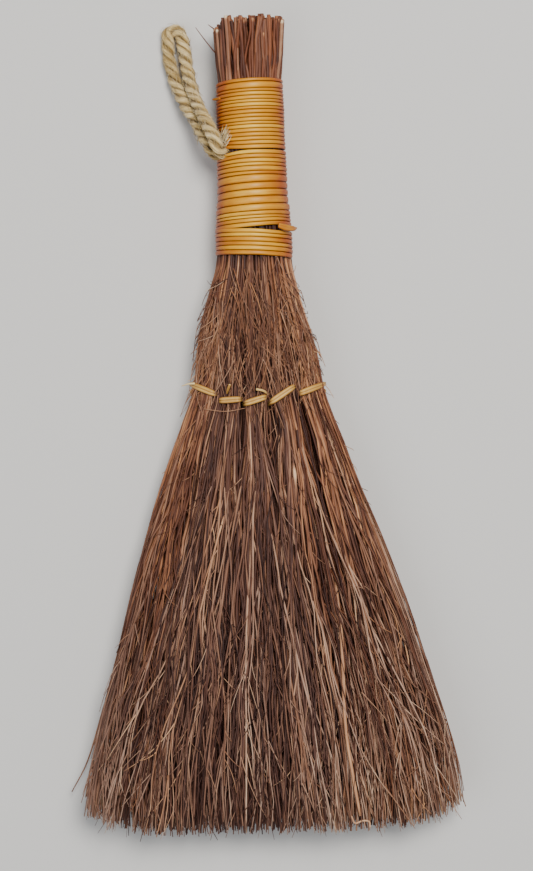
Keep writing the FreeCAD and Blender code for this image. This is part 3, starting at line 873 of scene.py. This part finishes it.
# Width of each turn at the front, from the lowest up.
UPPER_TURNS = [1.7, 1.5, 1.5, 1.5, 1.5, 1.5, 1.1, 1.5, 1.4, 1.55, 1.1, 1.5, 1.1, 1.5, 1.45, 1.1,
               2.6, 1.3]
MIDDLE_TURNS = [1.7, 1.5, 1.1, 1.5, 2.6, 2.95, 2.6, 2.6, 2.95, 1.25, 1.95, 1.25, 1.65, 1.55, 1.6]
LOWER_TURNS = [1.8, 1.75, 1.5, 1.8, 1.45, 1.6]


def make_bindings():
    rng = seeded("bindings")
    winding("cane_upper", 102.05, UPPER_TURNS, 1, (0.012, 0.012), 0.5, rng, "binding_upper")
    winding("cane_middle", 73.15, MIDDLE_TURNS, 1, (0.025, -0.01), 0.5, rng, "binding_middle")
    winding("cane_lower", 62.7, LOWER_TURNS, -1, (-0.04, -0.03), 0.3, rng, "binding_lower")


def flat_strand(name, points, widths, thickness, material, tone, out, rng):
    """A short flat strand through a few points, facing out; widths are half widths."""
    path = spline_points(points, 6)
    tangent = tangents(path)
    out = np.broadcast_to(np.asarray(out, float), path.shape)
    side = unit(np.cross(tangent, out))
    strands = Strands(name)
    strands.add(path, side, np.cross(side, tangent), split_section(), evenly(widths, len(path)),
                thickness, tone, rng.uniform(0, 50))
    return strands.build(material)


def make_cane_ends():
    """The cut end of the cane at the step, and a tiny end at the upper left."""
    rng = seeded("cane_ends")
    points = [(9.3, 73.5, AXIS + 12.2), (11.2, 72.9, AXIS + 11.0), (13.2, 72.6, AXIS + 9.0),
              (15.0, 72.6, AXIS + 6.2), (TAIL_TIP, 73.0, AXIS + 2.8)]
    tail = flat_strand("cane_tail", points, [1.05, 1.35, 1.25, 0.95, 0.35], 0.55, CANE, 0.38,
                       (0.6, 0.1, 0.79), rng)
    attach(tail, "cane", "cane_end")
    points = [(-10.9, 121.9, AXIS + 6.2), (-12.7, 122.1, AXIS + 2.6), (-13.8, 122.3, AXIS + 0.6)]
    nub = flat_strand("cane_nub", points, [0.6, 0.55, 0.3], 0.4, CANE, 0.25, (-0.8, 0.1, 0.6),
                      rng)
    attach(nub, "cane")


# ---- stitches
def spline_points(points, per_span):
    """A smooth curve through the points (Catmull-Rom)."""
    points = np.asarray(points, float)
    padded = np.vstack([2 * points[0] - points[1], points, 2 * points[-1] - points[-2]])
    out = []
    for i in range(1, len(padded) - 2):
        t = np.linspace(0, 1, per_span, endpoint=False)[:, None]
        a, b, c, d = padded[i - 1:i + 3]
        out.append(0.5 * (2 * b + (c - a) * t + (2 * a - 5 * b + 4 * c - d) * t ** 2
                          + (3 * b - a - 3 * c + d) * t ** 3))
    out.append(points[-1][None, :])
    return np.vstack(out)


def row_surface(x):
    """How far the twigs' face is from the middle plane at the row of stitches."""
    return ROW_THICKNESS * math.sqrt(max(0.0, 1.0 - row_share(x) ** 2))


# A stitch over one bunch: share of the way, height over the twigs (None inside), half width.
STITCH_COURSE = ((0.0, None, 0.8), (0.13, 0.2, 1.15), (0.35, 0.95, 1.3), (0.65, 0.95, 1.25),
                 (0.87, 0.2, 1.1))
STITCH_OVERHANG = 0.3


def stitch(name, node, first_side, heights, rng):
    """A flat strand that twines over one bunch and under the next."""
    ends = [-ROW_LEFT - STITCH_OVERHANG, *DIVIDERS, ROW_RIGHT + STITCH_OVERHANG]
    points = []
    half_widths = []
    side = first_side
    for k in range(BUNCHES):
        left, right = ends[k], ends[k + 1]
        for t, above, half_width in STITCH_COURSE:
            x = left + (right - left) * t
            y = heights[k] + (heights[k + 1] - heights[k]) * t
            z = AXIS if above is None else AXIS + side * (row_surface(x) + above)
            points.append((x, y, z))
            half_widths.append(half_width)
        side = -side
    points.append((ends[-1], heights[-1], AXIS))
    half_widths.append(0.75)
    path = spline_points(points, 6)
    tangent = tangents(path)
    across = unit(np.array([0.0, 1.0, 0.0]) - tangent * tangent[:, 1:2])
    up = np.cross(tangent, across)
    facing = np.sign(up[:, 2:3] * (path[:, 2:3] - AXIS) + 1e-9)
    thickness, tone = 0.6, 0.42
    strands = Strands(name)
    strands.add(path, across * facing, up * facing, split_section(),
                evenly(half_widths, len(path)), thickness, tone, rng.uniform(0, 50))
    attach(strands.build(STITCH_CANE), "stitch_cane", node)


# Short ends that stick out of the row: places, radii, tone.
STITCH_ENDS = (
    (((-11.8, 11.8, 20.5), (-11.1, 13.6, 22.6), (-10.5, 15.1, 23.4)), (0.4, 0.5, 0.5), 0.4),
    (((3.8, 10.9, 20.5), (2.0, 12.4, 22.9), (-0.7, 13.1, 23.4)), (0.35, 0.45, 0.5), 0.6),
    (((-23.6, 16.0, 18.6), (-26.2, 15.9, 17.6), (-28.6, 15.2, 16.2)), (0.45, 0.28, 0.15), 0.7),
)


def make_stitches():
    rng = seeded("stitches")
    stitch("stitch_strand_a", "stitch_cane_a", 1, [15.9, 11.4, 7.7, 10.4, 10.8, 14.6], rng)
    stitch("stitch_strand_b", "stitch_cane_b", -1, [13.0, 9.3, 9.6, 7.4, 14.6, 11.8], rng)
    strands = Strands("stitch_ends")
    for points, radii, tone in STITCH_ENDS:
        path = spline_points(points, 5)
        strands.tube(path, evenly(radii, len(path)), 8, tone, rng.uniform(0, 50), pale_end=True)
    attach(strands.build(STITCH_CANE), "stitch_cane")


# ---- the rope loop
ROPE_DIAMETER = 4.5
ROPE_STRANDS = 3
ROPE_LAY = 12.6  # mm of rope for one turn of its strands
ROPE_SPACING = 0.4  # mm between the places of its line
ROPE_FIBRES = 1200
STRAY_SHARE = 0.38  # of those fibres, that stand off the rope
FRAYED_FIBRES = 45
# The loop's route (mm), from the front leg's exit round the bight to the side leg's exit.
LOOP_ROUTE = [
    (-9.0, 101.0, 20.8), (-12.4, 101.8, 23.4), (-12.9, 105.0, 24.8), (-14.8, 109.4, 22.8),
    (-16.9, 114.4, 19.0), (-19.4, 119.8, 14.6), (-21.4, 125.4, 10.6), (-22.7, 131.0, 7.6),
    (-23.6, 137.0, 5.6), (-24.6, 143.5, 4.4), (-25.4, 150.2, 3.6), (-30.7, 150.4, 3.0),
    (-30.6, 143.5, 3.0), (-29.8, 137.0, 3.4), (-28.1, 130.4, 4.6), (-25.7, 124.8, 6.6),
    (-22.8, 119.4, 9.2), (-20.3, 114.4, 12.0), (-18.0, 109.2, 14.8), (-16.0, 105.0, 17.2),
    (-14.2, 101.6, 18.6), (-10.8, 100.9, 17.8),
]


def loop_line():
    """Points along the loop's NURBS spline, in mm, and its length."""
    curve = bpy.data.curves.new("loop_line", "CURVE")
    curve.dimensions = "3D"
    curve.resolution_u = 24
    spline = curve.splines.new("NURBS")
    spline.points.add(len(LOOP_ROUTE) - 1)
    for point, spot in zip(spline.points, LOOP_ROUTE):
        point.co = (*[c * MM for c in spot], 1.0)
    spline.order_u = 3
    spline.use_endpoint_u = True
    holder = bpy.data.objects.new("loop_line", curve)
    mesh = bpy.data.meshes.new_from_object(holder)
    line = np.array([v.co[:] for v in mesh.vertices]) / MM
    bpy.data.objects.remove(holder)
    bpy.data.meshes.remove(mesh)
    steps = np.concatenate([[0], np.cumsum(np.linalg.norm(np.diff(line, axis=0), axis=1))])
    even = np.linspace(0, steps[-1], int(steps[-1] / ROPE_SPACING))
    line = np.stack([np.interp(even, steps, line[:, i]) for i in range(3)], axis=1)
    return line, steps[-1]


def axes_along(line):
    """Tangent and a pair of axes that don't twist along the line."""
    tangent = tangents(line)
    axis = unit(np.cross(tangent[0], [0.0, 0.0, 1.0]))
    first = []
    for t in tangent:
        axis = unit(axis - t * np.dot(axis, t))
        first.append(axis)
    first = np.array(first)
    return tangent, first, np.cross(tangent, first)


def make_rope():
    """Three strands of many yarns, loosest at the knuckle."""
    rng = seeded("rope")
    line, length = loop_line()
    tangent, first, second = axes_along(line)
    along = np.linspace(0, length, len(line))
    middle = smoothstep(0, 12, along) * smoothstep(length, length - 12, along)
    knuckle = np.exp(-((along - 0.77 * length) / 3.0) ** 2)
    loose = 1 + middle * (0.05 + 0.05 * np.sin(along / 7.0) + 0.24 * knuckle)
    strand_radius = ROPE_DIAMETER / 2 / (1 + 2 / math.sqrt(3)) * 1.05
    helix_radius = ROPE_DIAMETER / 2 - strand_radius + 0.12
    sides = 28
    turn = np.arange(sides) * TAU / sides
    strands = Strands("rope_loop")
    for s in range(ROPE_STRANDS):
        angle = -along / ROPE_LAY * TAU + s * TAU / ROPE_STRANDS
        angle = angle + 0.22 * np.sin(along / 15 + 2.1 * s)
        out = first * np.cos(angle)[:, None] + second * np.sin(angle)[:, None]
        path = line + out * (helix_radius * loose * (1 + 0.06 * np.sin(along / 6 + s)))[:, None]
        t = tangents(path)
        up = unit(out - t * np.sum(out * t, axis=1)[:, None])
        side = np.cross(t, up)
        yarns = 1 + 0.09 * np.cos(7 * turn[None, :] + along[:, None] / 5.2 * TAU / 2 + s)
        yarns = yarns + 0.035 * np.cos(17 * turn[None, :] + along[:, None] * 0.7)
        outline = np.stack([np.cos(turn) * yarns, np.sin(turn) * yarns], axis=2)
        radius = strand_radius * loose * (1 + 0.05 * np.sin(along / 3.3 + 2 * s))
        strands.add(path, side, up, outline, radius, radius, 0.5 + 0.04 * s, rng.uniform(0, 50))
    add_rope_fibres(strands, line, tangent, first, second, rng)
    piece = strands.build(ROPE)
    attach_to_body(piece, "loop")
    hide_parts("hanging_loop", "rope_ends")


def make_frayed_fibres():
    """Fibres that came loose at the slit and lie on the cane beside the rope."""
    rng = seeded("frayed")
    strands = Strands("frayed_fibres")
    for _ in range(FRAYED_FIBRES):
        x = rng.uniform(-11.6, -9.4)
        y = rng.uniform(103.0, 108.5)
        along = np.linspace(0, 1, 5)
        xs = x + rng.uniform(0.2, 2.6) * along
        ys = y + rng.uniform(0.5, 4.5) * along + rng.normal(0, 0.3) * along ** 2
        off = 12.9 + rng.uniform(0.0, 0.5) + rng.uniform(0.0, 0.9) * along * (1 - along)
        zs = AXIS + np.sqrt(np.maximum(off ** 2 - xs ** 2, 0.0))
        strands.tube(np.stack([xs, ys, zs], axis=1), [0.1, 0.11, 0.1, 0.08, 0.05], 4,
                     rng.uniform(0.5, 1.0), rng.uniform(0, 50))
    attach(strands.build(ROPE), "rope")


def add_rope_fibres(strands, line, tangent, first, second, rng):
    """Loose fibres: most lie along the rope, some stand off it."""
    for _ in range(ROPE_FIBRES):
        at = rng.integers(6, len(line) - 6)
        turn = rng.uniform(0, TAU)
        out = first[at] * math.cos(turn) + second[at] * math.sin(turn)
        around = np.cross(tangent[at], out)
        stray = rng.random() < STRAY_SHARE
        reach = rng.uniform(0.5, 1.8) if stray else rng.uniform(0.05, 0.35)
        ahead = tangent[at] * rng.choice([-1, 1]) * rng.uniform(1.2, 4.2)
        slant = around * rng.uniform(-1.2, 1.2)
        start = line[at] + out * ROPE_DIAMETER * 0.47
        points = np.stack([start, start + out * reach * 0.6 + ahead * 0.5 + slant * 0.4,
                           start + out * reach * rng.uniform(0.2, 1.0) + ahead + slant])
        points[:, 2] = np.maximum(points[:, 2], 0.15)  # over the floor
        strands.tube(points, [0.08, 0.075, 0.04], 3, rng.uniform(0.35, 0.95), rng.uniform(0, 50))


# ---- camera, floor and light
CAMERA_PLACE = (2.6 * MM, -4.2 * MM, 0.915)
CAMERA_ROLL = math.radians(-1.66)
LENS, SENSOR = 99.2, 36.0


def make_camera():
    """Straight above the broom."""
    data = bpy.data.cameras.new("camera")
    data.lens = LENS
    data.sensor_width = SENSOR
    data.clip_start = 0.01
    camera = place_in_scene("camera", data)
    camera.location = CAMERA_PLACE
    camera.rotation_euler = (0.0, 0.0, CAMERA_ROLL)
    bpy.context.scene.camera = camera


def make_floor():
    m = Material("plain_floor")
    m.set(m.shader, Base_Color=(0.62, 0.61, 0.59), Roughness=0.9, Specular_IOR_Level=0.1)
    mesh = bpy.data.meshes.new("floor")
    half = 1.5
    mesh.from_pydata([(-half, -half, 0), (half, -half, 0), (half, half, 0), (-half, half, 0)], [],
                     [(0, 1, 2, 3)])
    mesh.materials.append(m.material)
    place_in_scene("floor", mesh)


def area_light(name, spot, size, power, color):
    data = bpy.data.lights.new(name, "AREA")
    data.shape = "SQUARE"
    data.size = size
    data.energy = power
    data.color = color
    light = place_in_scene(name, data)
    light.location = spot
    light.rotation_euler = (-Vector(spot)).to_track_quat("-Z", "Y").to_euler()


def make_lights():
    world = bpy.data.worlds.new("studio")
    world.use_nodes = True
    background = world.node_tree.nodes["Background"]
    background.inputs["Color"].default_value = (0.86, 0.92, 1.0, 1.0)
    background.inputs["Strength"].default_value = 0.32
    bpy.context.scene.world = world
    area_light("key", (0.22, 0.35, 1.15), 0.45, 19.0, (1.0, 0.97, 0.93))
    area_light("fill", (-0.6, -0.35, 0.95), 0.9, 4.5, (0.95, 0.97, 1.0))


make_camera()
make_rope()
make_frayed_fibres()
make_fan()
make_butt()
make_bindings()
make_cane_ends()
make_stitches()
make_floor()
make_lights()
